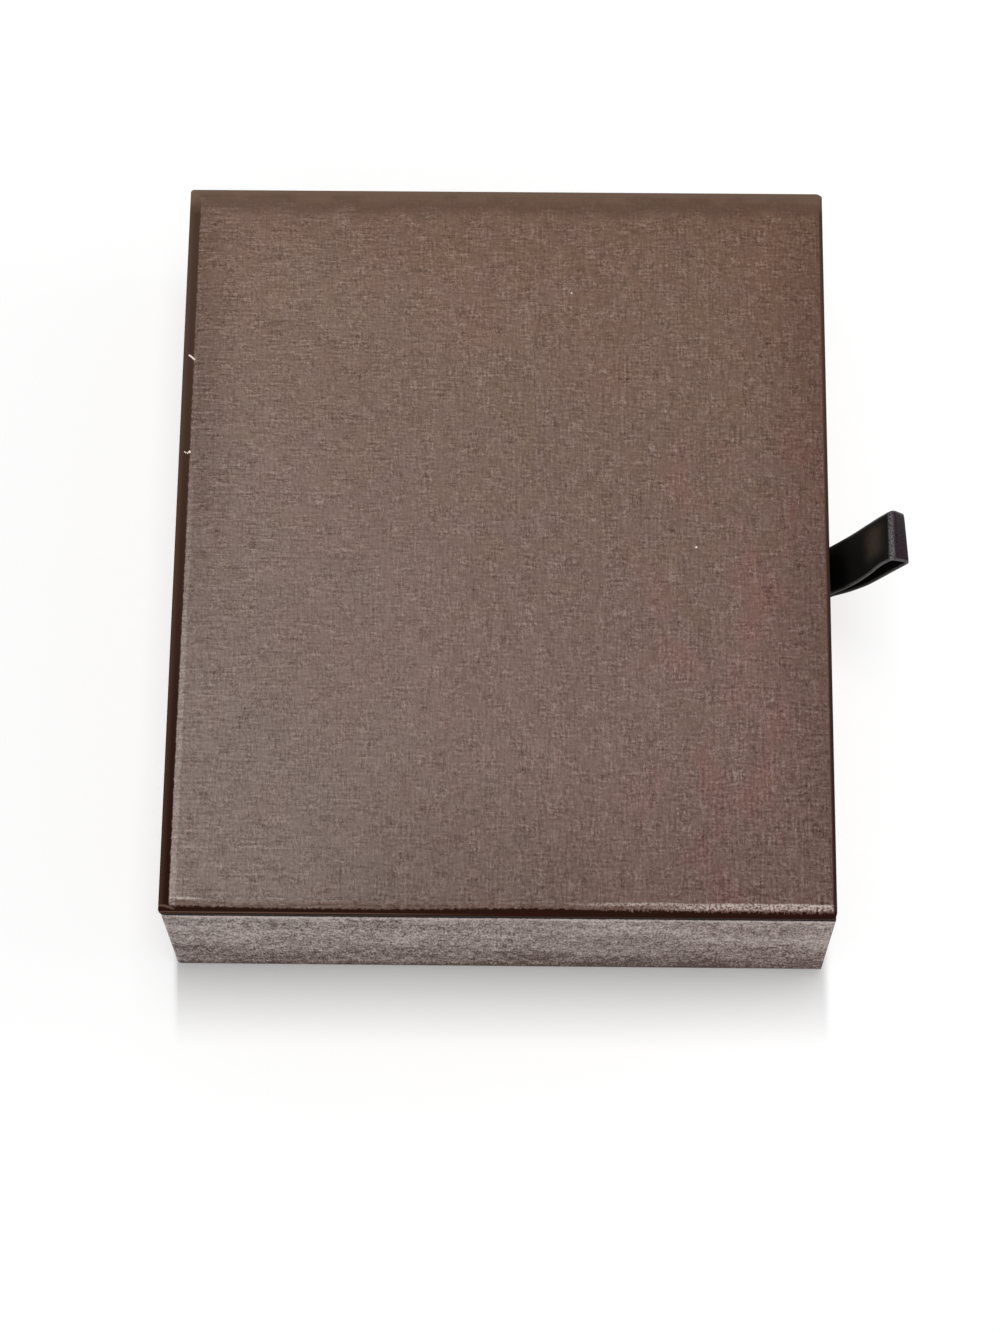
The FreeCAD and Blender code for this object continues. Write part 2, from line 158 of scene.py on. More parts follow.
class Shader:
    """A material and the nodes that it is built from."""

    def __init__(self, name):
        self.material = bpy.data.materials.new(name)
        self.material.use_nodes = True
        self.tree = self.material.node_tree
        self.tree.nodes.clear()

    def node(self, kind, settings=None, values=None, out=0):
        """Adds a node: its settings first, then the values or links of its inputs. Gives an output."""
        made = self.tree.nodes.new(kind)
        for key, value in (settings or {}).items():
            setattr(made, key, value)
        pairs = values.items() if isinstance(values, dict) else enumerate(values or ())
        for key, value in pairs:
            if isinstance(value, Field):
                self.tree.links.new(value.socket, made.inputs[key])
            else:
                made.inputs[key].default_value = value
        return None if out is None else Field(self, made.outputs[out])

    def number(self, value):
        return self.node("ShaderNodeMath", {"operation": "ADD"}, (value, 0.0))

    def grey(self, value):
        """A number as a grey colour."""
        return self.node("ShaderNodeCombineColor", None, (value, value, value))

    def place(self):
        """Object coordinates in millimetres: x, y and z."""
        point = self.node("ShaderNodeTexCoord", out="Object")
        scaled = self.node("ShaderNodeVectorMath", {"operation": "SCALE"}, {0: point, "Scale": 1 / MM})
        return tuple(self.node("ShaderNodeSeparateXYZ", None, (scaled,), out=axis) for axis in range(3))

    def facing(self):
        """Two numbers: 1 on the end faces, which are square to x, and 1 on the level faces. 0 elsewhere."""
        normal = self.node("ShaderNodeTexCoord", out="Normal")
        parts = [abs(self.node("ShaderNodeSeparateXYZ", None, (normal,), out=axis)) for axis in (0, 2)]
        return tuple(part.rise(0.6, 0.8) for part in parts)

    def point(self, x, y=0.0, z=0.0):
        return self.node("ShaderNodeCombineXYZ", None, (x, y, z))

    def noise(self, vector, scale, detail=2.0, roughness=0.5):
        """Smooth noise from 0 to 1 with a mean of a half."""
        values = {"Vector": vector, "Scale": scale, "Detail": detail, "Roughness": roughness}
        return self.node("ShaderNodeTexNoise", None, values)

    def blend(self, amount, first, second, mode="MIX"):
        """Mixes two colours by an amount from 0 to 1."""
        settings = {"data_type": "RGBA", "blend_type": mode}
        return self.node("ShaderNodeMix", settings, {0: amount, 6: first, 7: second}, out=2)

    def bump(self, height, distance):
        """A normal from a height from 0 to 1, for a relief of this many millimetres."""
        values = {"Height": height, "Distance": distance * MM, "Strength": 1.0}
        return self.node("ShaderNodeBump", None, values)

    def principled(self, **sockets):
        """A Principled BSDF with these inputs."""
        values = {key.replace("_", " "): value for key, value in sockets.items()}
        return self.node("ShaderNodeBsdfPrincipled", None, values)

    def finish(self, surface):
        """Ends the material in a surface, and gives the material."""
        self.node("ShaderNodeOutputMaterial", None, {"Surface": surface}, out=None)
        return self.material


print("shader kit ready")

# %% [markdown]
# ## Linen-embossed paper
# The wrap is a dark brown coated paper, rolled between steel drums that press a linen weave into it. The
# emboss scatters light, so the paper looks paler and greyer than its own colour, which shows only where the
# paper is pulled smooth over an edge and in the weave's pits. A picture texture would stretch over the
# corners, so the weave is worked out from the place on the object, along each face's own two directions. It
# is no regular mesh: short slubs lie both ways over a fine grain, and here and there a whole thread shows. It
# tints the paper, dents it and dulls its pits.

# %% Work out the weave on any face of a box
LINEN_RELIEF = 0.09
THREADS_PER_MM = 1.9
SLUB_STRETCH, THREAD_STRETCH = 0.32, 0.08


def face_directions(place, end, level):
    """The two directions of a box's face in millimetres: along it, and up or across it. Along is y on the end
    walls and x elsewhere. Up is y on level faces and z elsewhere."""
    x, y, z = place
    return x + (y - x) * end, z + (y - z) * level


def slubs(shader, across, along, seed, stretch=SLUB_STRETCH):
    """Thick places in one set of threads: noise about 0, drawn out along the thread."""
    return shader.noise(shader.point(across * THREADS_PER_MM, along * stretch, seed), 1.0, 2.0, 0.6) - 0.5


def weave(shader, along, up, level_share, lively):
    """Height and tone of linen, both about 0. They add the slubs both ways, lumps a millimetre across and the
    grain, all crisper in some patches than in others, and by lively. Whole threads show along where
    level_share is 1, and up where it is 0."""
    level, upright = slubs(shader, up, along, 3.0), slubs(shader, along, up, 9.0)
    lumps = shader.noise(shader.point(along, up, 17.0), 1.1, 1.0, 0.5) - 0.5
    grain = shader.noise(shader.point(along, up, 23.0), 1.9, 2.0, 0.75) - 0.5
    level_threads = slubs(shader, up, along, 71.0, THREAD_STRETCH) * level_share * 1.6
    upright_threads = slubs(shader, along, up, 77.0, THREAD_STRETCH) * (1.0 - level_share) * 1.1
    threads = level_threads + upright_threads
    crisp = shader.noise(shader.point(along * 0.3, up * 0.3, 53.0), 1.0, 2.0, 0.5) * 2.5 - 0.4 + lively
    height = (level * 0.95 + upright * 0.85 + lumps * 0.15 + grain * 0.9) * crisp
    tone = (level * 2.2 + upright * (1.4 - level_share * 0.6) + threads + grain * 3.2) * crisp
    return height, tone


def thread_wear(shader, along, up):
    """Wear, about a half and low on the threads that stand up: blotches, long noise and short noise."""
    blotch = shader.noise(shader.point(along * 0.07, up * 0.12, 29.0), 1.0, 1.0, 0.5)
    long = shader.noise(shader.point(along * 0.6, up * 0.42, 31.0), 1.0, 2.0, 0.6)
    short = shader.noise(shader.point(along * 2.4, up * 0.75, 37.0), 1.0, 1.0, 0.7)
    return 1.13 - (blotch * 0.26 + long * 0.44 + short * 0.56)


print("weave ready")

# %% Work out the paper's hue
LINEN_WARM = (0.138, 0.071, 0.050, 1)
# The second and the last colour paint the haze of reflected light: greyer where it is strong, yellower where
# it fades.
LINEN_HAZE_GREY = (0.119, 0.072, 0.052, 1)
LINEN_RED = (0.146, 0.068, 0.047, 1)
LINEN_BLUSH = (0.158, 0.066, 0.048, 1)
LINEN_HAZE_FADE = (1.0, 1.0, 0.68, 1)


def paper_hue(shader, place, cloud, top):
    """The hue, by slopes over the plan and noise: cooler to the front and left and yellower to the back, which
    is painted haze of reflected light, strongest at the front left; redder at the back and the mouth; and
    blushed in patches at the front right. The noise patches in these are the coating's own tone. All but the
    cooling are on the top only."""
    x, y, z = place
    patch = shader.noise(shader.point(*place), 0.16, 3.0, 0.6) - 0.5
    other_patch = shader.noise(shader.point(x, y, z + 60.0), 0.16, 3.0, 0.6) - 0.5
    # Painted haze: greyer toward the front and left, where the reflected light is strongest, and yellower
    # toward the back; the noise patches are the coating's own tone.
    cool_haze_and_patches = (cloud - x * 0.009 - y * 0.007 + patch * 0.8).rise(0.1, 1.0)
    red = (cloud + (abs(y - 20.0) + y) * 0.004 + (abs(x - 40.0) + x) * 0.006).rise(0.35, 0.9)
    haze_fade_and_patches = (y * 0.0062 + other_patch * 1.1 + 0.29).rise(0.0, 1.0)
    blush = shader.noise(shader.point(x, y * 0.6, 90.0), 0.11, 2.0, 0.5).rise(0.5, 0.66)
    blush = blush * x.rise(15.0, 45.0) * (1.0 - y.rise(10.0, 40.0))
    colour = shader.blend(cool_haze_and_patches, LINEN_WARM, LINEN_HAZE_GREY)
    colour = shader.blend(red * top, colour, LINEN_RED)
    colour = shader.blend(blush * top, colour, LINEN_BLUSH)
    return shader.blend(haze_fade_and_patches * top, colour, LINEN_HAZE_FADE, "MULTIPLY")


print("hue ready")

# %% [markdown]
# The walls look paler than the top: their threads are lightened with painted sheen, least at the foot, which
# gets painted shade, and a strip just under the cover gets a painted highlight. The front wall has a pale fold
# and a scuffed corner. The last millimetre under the cover is painted near-black as the shade in the seam,
# where the paper also turns in.
# The pits are a second, dull surface, mixed in by a Mix Shader: one surface with a varied gloss would look the
# same, but the bake keeps only some of its sockets.

# %% Put the linen paper together
# The first colour lightens the walls as painted sheen and the top's raised threads as painted glints, and it
# colours the scuffs.
LINEN_PALE_AND_SHEEN = (0.41, 0.325, 0.303, 1)
FLECK_DARK = (0.034, 0.010, 0.006, 1)
# The next colour is the near-black of the painted shade in the seam under the cover.
SEAM_SHADE = (0.004, 0.0015, 0.001, 1)
FOOT, CREST = 4.0, 35.5
FRONT_WALL = (-75.2, -75.0)
FOLD_HEIGHT, FOLD_START = 21.5, (26.0, 38.0)
CASE_CORNER = (-63.4, -62.8)


def scuffed(place, cloud):
    """The lighter marks on the front wall: a wavy fold at the right and a scuffed corner at the left."""
    x, _, z = place
    fold = (z + cloud * 2.0).near(FOLD_HEIGHT, 0.2, 0.6) * x.rise(*FOLD_START) * 0.45
    return fold.larger((1.0 - x.rise(*CASE_CORNER)) * 0.5)


def linen(name, edges=None):
    """Linen paper. edges gives, from the place: how far the emboss is gone, from 0 to 1, the colour there,
    how far a painted crease highlight lightens it, how far it is made duller and darker, and where it is
    chipped."""
    shader = Shader(name)
    place = shader.place()
    x, y, z = place
    end, top = shader.facing()
    along, up = face_directions(place, end, top)
    wall, front = 1.0 - top, 1.0 - y.rise(*FRONT_WALL)
    calm = x.near(-18.0, 8.0, 28.0) * (1.0 - y.rise(0.0, 40.0)) * 0.1
    lively = (x.rise(20.0, 50.0) * (1.0 - y.rise(-60.0, -10.0)) * 0.16 - calm) * top
    height, tone = weave(shader, along, up, 1.0 - x.rise(-50.0, 5.0), lively)
    cloud = shader.noise(shader.point(*place), 0.035, 3.0, 0.6) - 0.5
    light = (tone * (wall * 0.34 + 0.18) + 1.0).larger(0.75).smaller(2.6)
    colour = shader.blend(1.0, paper_hue(shader, place, cloud, top), shader.grey(light), "MULTIPLY")
    # Painted highlight: a strip of the walls just under the cover is lightened, as the turned edge there would
    # catch the light.
    crest_highlight = z.rise(CREST - 1.6, CREST - 0.9)
    # Painted shade at the foot: the walls get darker toward the bottom, most in the last few millimetres.
    low = (1.0 - z.rise(2.0, 24.0)) * 0.08 + (1.0 - z.rise(0.0, FOOT)) * 0.08
    wear_and_painted_light = thread_wear(shader, along, up * (2.6 - front * 1.6))
    wear_and_painted_light = wear_and_painted_light + low - crest_highlight * 0.08 + x.rise(0.0, 40.0) * front * 0.01
    scuffs = scuffed(place, cloud) * front * (1.0 - crest_highlight)
    # Painted sheen on the walls in the pattern of the threads, and painted glints on the top's raised threads;
    # the scuffs are lighter marks of their own.
    pale_and_sheen = ((1.0 - wear_and_painted_light.rise(0.39, 0.53)) * wall).larger(scuffs).larger(tone.rise(0.0, 1.25) * 0.34)
    colour = shader.blend(pale_and_sheen, colour, LINEN_PALE_AND_SHEEN)
    # Painted shade in the seam under the cover: the walls' last millimetre goes near-black, where the paper
    # also turns in.
    seam_shade = (z + tone * 0.3).rise(CREST, CREST + 0.25) * wall
    pits = (0.08 - tone * 0.38).larger(0.0)
    dull = (wear_and_painted_light.rise(0.52, 0.65) * 0.72 * wall).larger(pits).larger(seam_shade)
    dull_colour = shader.blend(seam_shade, FLECK_DARK, SEAM_SHADE)
    relief = height
    if edges:
        smooth_share, edge_colour, crease_highlight, edge_dulling, chips = edges(shader, place)
        # The creases' painted highlight.
        colour = shader.blend(crease_highlight, colour, CREASE_HIGHLIGHT_COLOUR)
        colour = shader.blend(chips, colour, CORE_PAPER)
        dull_colour = shader.blend(smooth_share, dull_colour, edge_colour)
        dull_colour = shader.blend(chips, dull_colour, CORE_PAPER)
        relief = height * (1.0 - smooth_share * 0.85)
        dull = (dull + edge_dulling).larger(smooth_share)
    normal = shader.bump(relief, LINEN_RELIEF)
    gloss = {"Specular_IOR_Level": 0.5, "Sheen_Weight": 0.4, "Sheen_Roughness": 0.45}
    embossed = shader.principled(Base_Color=colour, Roughness=0.48, Normal=normal, **gloss)
    pitted = shader.principled(Base_Color=dull_colour, Roughness=0.5, Normal=normal, Specular_IOR_Level=0.02)
    return shader.finish(shader.node("ShaderNodeMixShader", None, (dull.smaller(1.0), embossed, pitted)))


print("linen ready")

# %% [markdown]
# ## Where the cover's paper is smooth
# Along the cover's closed edges the paper is pulled over the bevel and loses its emboss: almost black-brown
# at the front and left, and plain brown at the back. The left band turns browner toward the back, a painted
# reflection of light from the back left. The border is ragged, where single threads of the weave still show.
# The lip below the front band carries a painted highlight at the front left, and the tuck at that corner is
# paler.

# %% Map the smooth bands
COVER_LOW, COVER_HIGH = (Vector(corner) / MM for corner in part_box("cover_paper"))
HALF_LENGTH, HALF_WIDTH = COVER_HIGH.x, COVER_HIGH.y
BUNCH = (12.0, 24.0)
SMOOTH_DARK = (0.019, 0.006, 0.0032, 1)
# The next colour is plain brown paper, and also the colour of the painted highlight and the painted reflection
# on the smooth bands.
SMOOTH_BROWN_AND_HIGHLIGHT = (0.150, 0.094, 0.067, 1)
FRONT_BAND, LEFT_BAND, BACK_FADE, MOUTH_BAND = (1.1, 1.55), (1.95, 2.2), (0.8, 8.5), (0.5, 1.15)


def edge_distances(place):
    """The distances in from the front, the back, the closed left end and the mouth."""
    x, y, _ = place
    return HALF_WIDTH + y, HALF_WIDTH - y, HALF_LENGTH + x, HALF_LENGTH - x


def smooth_bands(shader, place):
    """The smooth share, its colour, and the mouth's part of it. Each edge's band ends where the distance in
    from the edge, made ragged by noise, passes its width. The back's fades out."""
    x, y, _ = place
    front, back, left, mouth = edge_distances(place)
    ragged = shader.noise(shader.point(x * 1.1, y * 1.1, 5.0), 1.0, 4.0, 0.75) - 0.5
    patches = shader.noise(shader.point(x, y, 7.0), 0.16, 3.0, 0.6) - 0.5
    threads = shader.noise(shader.point(x * 2.4, y * 1.6, 59.0), 1.0, 2.0, 0.6) - 0.5
    bunched, backward = x.rise(*BUNCH), y.rise(-75.0, 75.0)
    narrow = x.near(-30.0, 10.0, 35.0) * 0.3 + bunched * 0.15 + x.rise(30.0, 50.0) * 0.12
    uneven = ragged * 1.2 + threads * (bunched * 0.9 + 0.5) + narrow
    front_band = 1.0 - (front + uneven).rise(*FRONT_BAND)
    left_band = 1.0 - (left + ragged * 0.8 - y.rise(-60.0, 0.0) * 0.25).rise(*LEFT_BAND)
    back_band = 1.0 - (back + ragged * 3.0 + patches * 6.0).rise(*BACK_FADE)
    mouth_band = 1.0 - (mouth + ragged * 0.3).rise(*MOUTH_BAND)
    band = front_band.larger(left_band).larger(back_band).larger(mouth_band)
    # Painted highlight on the lip below the front band, at the left.
    lip_highlight = front.near(0.2, 0.04, 0.16) * (1.0 - x.rise(-35.0, 5.0)) * 0.5
    tuck = (front + left * 0.25).near(1.5, 0.1, 0.3) * (1.0 - left.rise(2.6, 3.4)) * 0.6
    # Painted reflection: the left band turns browner toward the back, as light from the back left would show
    # in it, and a little at its outer edge.
    left_reflection = (backward * 0.3 + (1.0 - left.rise(0.1, 1.5)) * 0.18) * left_band
    brown_and_highlight = left_reflection.larger(mouth_band * (backward * 0.3 + 0.15)).larger(back_band)
    brown_and_highlight = (brown_and_highlight * (1.0 - front_band)).larger(lip_highlight).larger(tuck)
    return band, shader.blend(brown_and_highlight, SMOOTH_DARK, SMOOTH_BROWN_AND_HIGHLIGHT), mouth_band


print("cover", round(2 * HALF_LENGTH, 1), "x", round(2 * HALF_WIDTH, 1), "mm")

# %% [markdown]
# Behind the smooth bands the crease carries a painted highlight: a faint line at the front and left, and a
# bright mottled ridge where the paper is bunched. The top is also made duller and darker near the edges, and
# the slope inside the front crease carries painted shade. A scratch, a nick and two specks show the paper's
# pale core.

# %% Map the creases, the flattened emboss and the chips
CREASE_PLAIN, CREASE_BUNCHED = 2.05, 2.15
# The next colour is a painted highlight for the creases.
CREASE_HIGHLIGHT_COLOUR = (0.62, 0.53, 0.48, 1)
CORE_PAPER = (0.80, 0.68, 0.58, 1)
SCRATCH = [(-62.2 + 0.26 * i, 38.5 - 0.26 * i, 0.22) for i in range(5)]
NICK = ((-61.3, 17.6, 0.3), (-61.7, 17.4, 0.16), (-62.05, 17.6, 0.15), (-62.3, 17.8, 0.14))
SPECKS = ((37.7, -1.6, 0.24), (13.3, 52.5, 0.18))


def creases(shader, place, mouth_band):
    """How far the creases carry a painted highlight, and how far the slope inside the front one is darkened
    with painted shade. The front crease's highlight is a line, with a broader strip outside it where the paper
    is bunched, both broken into flecks. The left one is a faint line."""
    x, y, _ = place
    front, _, left, _ = edge_distances(place)
    bunched, corner = x.rise(*BUNCH), 1.0 - x.rise(-60.0, -52.0)
    drift = shader.noise(shader.point(x * 0.12, 0.0, 41.0), 1.0, 2.0, 0.5) - 0.5
    flecks = shader.noise(shader.point(x * 2.0, y * 2.5, 47.0), 1.0, 3.0, 0.7)
    dash = shader.noise(shader.point(x * 0.55, y * 3.2, 61.0), 1.0, 2.0, 0.6) - 0.5
    away = front - (CREASE_PLAIN + bunched * (CREASE_BUNCHED - CREASE_PLAIN)) + drift * 0.6
    line = away.near(corner * 0.6, 0.1, 0.45) * flecks.rise(0.4, 0.56)
    line = line * (bunched * 0.6 + x.rise(35.0, 58.0) * 0.4 + corner * 0.4 + 0.12)
    strip = away.near(-0.35, 0.35, 0.75) * flecks.rise(0.42, 0.55) * x.rise(22.0, 42.0) * 0.9
    faint = (flecks * 0.24 + 0.03) * (1.0 - y.rise(-40.0, 50.0)) + flecks.rise(0.55, 0.65) * 0.3
    left_line = left.near(2.7, 0.3, 0.75) * (1.0 - mouth_band) * faint
    slope = front.near(2.1, 0.8, 1.6) * (1.0 - bunched)
    # Painted highlight along the creases, where the ridge and the bent paper would catch the light.
    crease_highlight = line.larger(strip).larger(left_line).larger(dash.rise(0.04, 0.2) * slope * 0.2)
    # Painted shade on the slope inside the front crease: a faint strip away from the left corner, and dark
    # dashes.
    flat = front.near(2.7, 0.2, 0.8) * (1.0 - bunched) * (1.0 - corner) * 0.08
    return crease_highlight, flat.larger((dash * -1.0).rise(0.04, 0.2) * slope * 0.3)


def dulled_near_edges(place, slope_shade):
    """How far the paper is made duller and darker: most at each edge, fading inwards over a centimetre or
    more.
    The painted shade on the front slope is added to it."""
    x, y, _ = place
    front, back, left, mouth = edge_distances(place)
    front_dulling = (1.0 - front.rise(2.0, 36.0)) * x.rise(-45.0, -15.0) * 0.17 + slope_shade
    back_dulling = (1.0 - back.rise(4.0, 24.0)) * 0.09
    mouth_dulling = (1.0 - mouth.rise(0.8, 18.0)) * 0.22
    left_dulling = (1.0 - left.rise(2.0, 13.0)) * y.rise(-55.0, 45.0) * 0.27
    return front_dulling.larger(back_dulling).larger(mouth_dulling).larger(left_dulling)


def chipped(shader, place):
    """Where the coating has chipped off: 1 within each dot, from the distance to its middle on the plan."""
    flat = shader.point(place[0], place[1])
    rough_edge = shader.noise(flat, 3.0, 1.0) * 0.6 + 0.7
    share = shader.number(0.0)
    for x, y, radius in (*SCRATCH, *NICK, *SPECKS):
        ends = {0: flat, 1: (x, y, 0)}
        away = shader.node("ShaderNodeVectorMath", {"operation": "DISTANCE"}, ends, out="Value")
        share = share.larger(1.0 - (away * rough_edge).rise(radius * 0.7, radius))
    return share


def cover_edges(shader, place):
    """All that linen() asks about the cover's edges."""
    band, colour, mouth_band = smooth_bands(shader, place)
    crease_highlight, slope_shade = creases(shader, place, mouth_band)
    return band, colour, crease_highlight, dulled_near_edges(place, slope_shade), chipped(shader, place)


cover_linen = linen("cover_linen", cover_edges)
wall_linen = linen("wall_linen")
print("papers made:", cover_linen.name, wall_linen.name)

# %% [markdown]
# ## Plain papers, board and flock
# The linings are a smooth paper of the same brown, the floor card wears a flocked paper, and the boards under
# it all are grey with flecks of recycled fibre. They show only when the drawer is out.

# %% Make the inner papers
def mottled(name, dark, light, scale, relief, roughness, sheen=0.0):
    """A surface that mixes two colours by noise and has the same noise as its relief."""
    shader = Shader(name)
    point = shader.point(*shader.place())
    cloud = shader.noise(point, scale * 0.12, 3.0, 0.6)
    fleck = shader.noise(point, scale, 4.0, 0.65)
    amount = (cloud * 0.5 + fleck * 0.5).rise(0.32, 0.68)
    values = {
        "Base_Color": shader.blend(amount, dark, light),
        "Roughness": roughness - fleck * 0.1,
        "Normal": shader.bump(fleck, relief),
        "Sheen_Weight": sheen,
    }
    return shader.finish(shader.principled(**values))


LINING = ((0.075, 0.045, 0.033, 1), (0.105, 0.066, 0.050, 1))
FLOCK = ((0.070, 0.040, 0.028, 1), (0.125, 0.078, 0.056, 1))
BOARD = ((0.20, 0.18, 0.155, 1), (0.34, 0.31, 0.27, 1))
TAPE = ((0.42, 0.33, 0.22, 1), (0.55, 0.45, 0.31, 1))
lining_paper = mottled("lining_paper", *LINING, scale=2.2, relief=0.03, roughness=0.72)
flocked_paper = mottled("flocked_paper", *FLOCK, scale=6.0, relief=0.12, roughness=0.95, sheen=0.6)
greyboard = mottled("greyboard", *BOARD, scale=3.5, relief=0.05, roughness=0.9)
stay_tape = mottled("stay_tape", *TAPE, scale=2.5, relief=0.03, roughness=0.6)
print("inner papers made")

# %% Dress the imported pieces
DRESS = {
    wall_linen: ("case_wrap_paper", "case_base_sheet", "drawer_wrap_paper", "cover_paper"),
    lining_paper: ("case_floor_lining", "cover_lining", "pull_end_card"),
    flocked_paper: ("drawer_floor_cover",),
    stay_tape: ("case_corner_stays", "drawer_corner_stays"),
}
for name, piece in nodes.items():
    finish = next((made for made, names in DRESS.items() if name in names), greyboard)
    piece.data.materials.clear()
    piece.data.materials.append(finish)
print("dressed", len(nodes), "nodes")

# %% [markdown]
# ## The cover's paper skin
# The cover is a board whose three closed edges slope away, with the paper pulled over them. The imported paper
# is exact and flat, and real paper isn't: it sinks and swells a few hundredths of a millimetre, bunches up
# along the front crease and is folded in a tuck at the closed corners. So the skin is a height over the
# board's plan, on a grid that is fine at the edges, with a strip that carries on down its sides and under.

# %% Turn arrays into meshes
def mesh_piece(name, points, quads, finish, smooth=True):
    """A mesh object at the origin from points in millimetres and rows of four corner numbers."""
    mesh = bpy.data.meshes.new(name)
    mesh.vertices.add(len(points))
    mesh.vertices.foreach_set("co", (np.asarray(points) * MM).astype(np.float32).ravel())
    mesh.loops.add(quads.size)
    mesh.loops.foreach_set("vertex_index", quads.astype(np.int32).ravel())
    mesh.polygons.add(len(quads))
    mesh.polygons.foreach_set("loop_start", np.arange(0, quads.size, 4, dtype=np.int32))
    mesh.update(calc_edges=True)
    mesh.validate()
    mesh.polygons.foreach_set("use_smooth", np.full(len(mesh.polygons), smooth))
    mesh.materials.append(finish)
    piece = bpy.data.objects.new(name, mesh)
    scene.collection.objects.link(piece)
    return piece


def grid_quads(numbers, wrap=False):
    """The quads between neighbouring rows of a table of vertex numbers. With wrap, rows close into rings."""
    if wrap:
        numbers = np.hstack([numbers, numbers[:, :1]])
    return np.stack(
        [numbers[:-1, :-1], numbers[:-1, 1:], numbers[1:, 1:], numbers[1:, :-1]], axis=-1
    ).reshape(-1, 4)


def ripple(x, y, seed, size, count=14):
    """Smooth noise of about unit height: a sum of sine waves with seeded directions, lengths near size (in
    millimetres) and phases."""
    draw = np.random.default_rng(seed)
    angle, phase = draw.uniform(0, 2 * np.pi, (2, count))
    length = size * draw.uniform(0.6, 1.6, count)
    waves = [
        np.sin(2 * np.pi * (x * np.cos(a) + y * np.sin(a)) / l + p) for a, l, p in zip(angle, length, phase)
    ]
    return sum(waves) / math.sqrt(count / 2)


print("mesh helpers ready")

# %% Shape the cover's skin
TOP = COVER_HIGH.z
UNDER = COVER_LOW.z
BEVEL_DROP = 1.3
FRONT_REACH, SIDE_REACH = 2.35, 2.2
MOUTH_EDGE = 0.8
CORNER_CLOSED, CORNER_MOUTH = 0.7, 1.2
TURN_IN = 15.0
TURN_RADIUS = 0.18
SKIN_THICKNESS = 0.12
SINK = 0.05
EDGE_STEP, EDGE_ZONE, MIDDLE_STEP = 0.16, 4.2, 1.1


def edge_spacing(half, fine, zone, coarse):
    """Grid lines from -half to half: fine steps within a zone of each end and coarse steps between."""
    near = np.arange(0, zone, fine)
    middle = np.linspace(zone, 2 * half - zone, int((2 * half - 2 * zone) / coarse) + 1)
    return np.concatenate([near, middle, 2 * half - near[::-1]]) - half


def round_plan(x, y):
    """Moves a square plan's corners onto quarter circles. Within a corner, with a and b the shares of its
    radius, the point goes to (a sqrt(1 - b^2/2), b sqrt(1 - a^2/2)), which maps a square onto a disc."""
    x, y = x.copy(), y.copy()
    for side_x, radius in ((-1, CORNER_CLOSED), (1, CORNER_MOUTH)):
        for side_y in (-1, 1):
            a = np.clip((side_x * x - (HALF_LENGTH - radius)) / radius, 0, 1)
            b = np.clip((side_y * y - (HALF_WIDTH - radius)) / radius, 0, 1)
            inside = (a > 0) & (b > 0)
            new_x = side_x * (HALF_LENGTH - radius + radius * a * np.sqrt(1 - b * b / 2))
            new_y = side_y * (HALF_WIDTH - radius + radius * b * np.sqrt(1 - a * a / 2))
            x[inside], y[inside] = new_x[inside], new_y[inside]
    return x, y


def bell(distance, width):
    """A smooth bump: exp(-(distance / width)^2)."""
    return np.exp(-((distance / width) ** 2))


def cover_height(x, y):
    """Height of the skin over the plan: the flat top, less SINK and the bevel's fall, plus its relief. The
    fall is BEVEL_DROP times a power of how far out a point lies within the edge's reach: a long shallow slope
    at the front, a shorter one at the left and back, and a quarter round at the mouth."""
    front, side = HALF_WIDTH + y, np.minimum(HALF_LENGTH + x, HALF_WIDTH - y)
    front_share = np.clip(1 - front / FRONT_REACH, 0, 1) ** 1.4
    side_share = np.clip(1 - side / SIDE_REACH, 0, 1) ** 1.3
    mouth = np.clip(1 - (HALF_LENGTH - x) / MOUTH_EDGE, 0, 1)
    fall = BEVEL_DROP * np.maximum(front_share, side_share)
    fall = np.maximum(fall, MOUTH_EDGE * (1 - np.sqrt(1 - mouth**2)))
    bunched = np.clip((x - BUNCH[0]) / (BUNCH[1] - BUNCH[0]), 0, 1)
    crease = CREASE_PLAIN + (CREASE_BUNCHED - CREASE_PLAIN) * bunched + 0.06 * ripple(x, y, 3, 14)
    uneven = 1 + 0.35 * ripple(x, y, 8, 2.4)
    ridge = (0.012 + 0.04 * bunched) * bell(front - crease, 0.28) * uneven
    closed = np.minimum(front, side)
    inner = np.clip(np.minimum(closed, HALF_LENGTH - x) / 4, 0, 1)
    sway = 0.025 * inner * ripple(x, y, 21, 38) + 0.008 * inner * ripple(x, y, 22, 9)
    return TOP - SINK - fall + ridge + sway


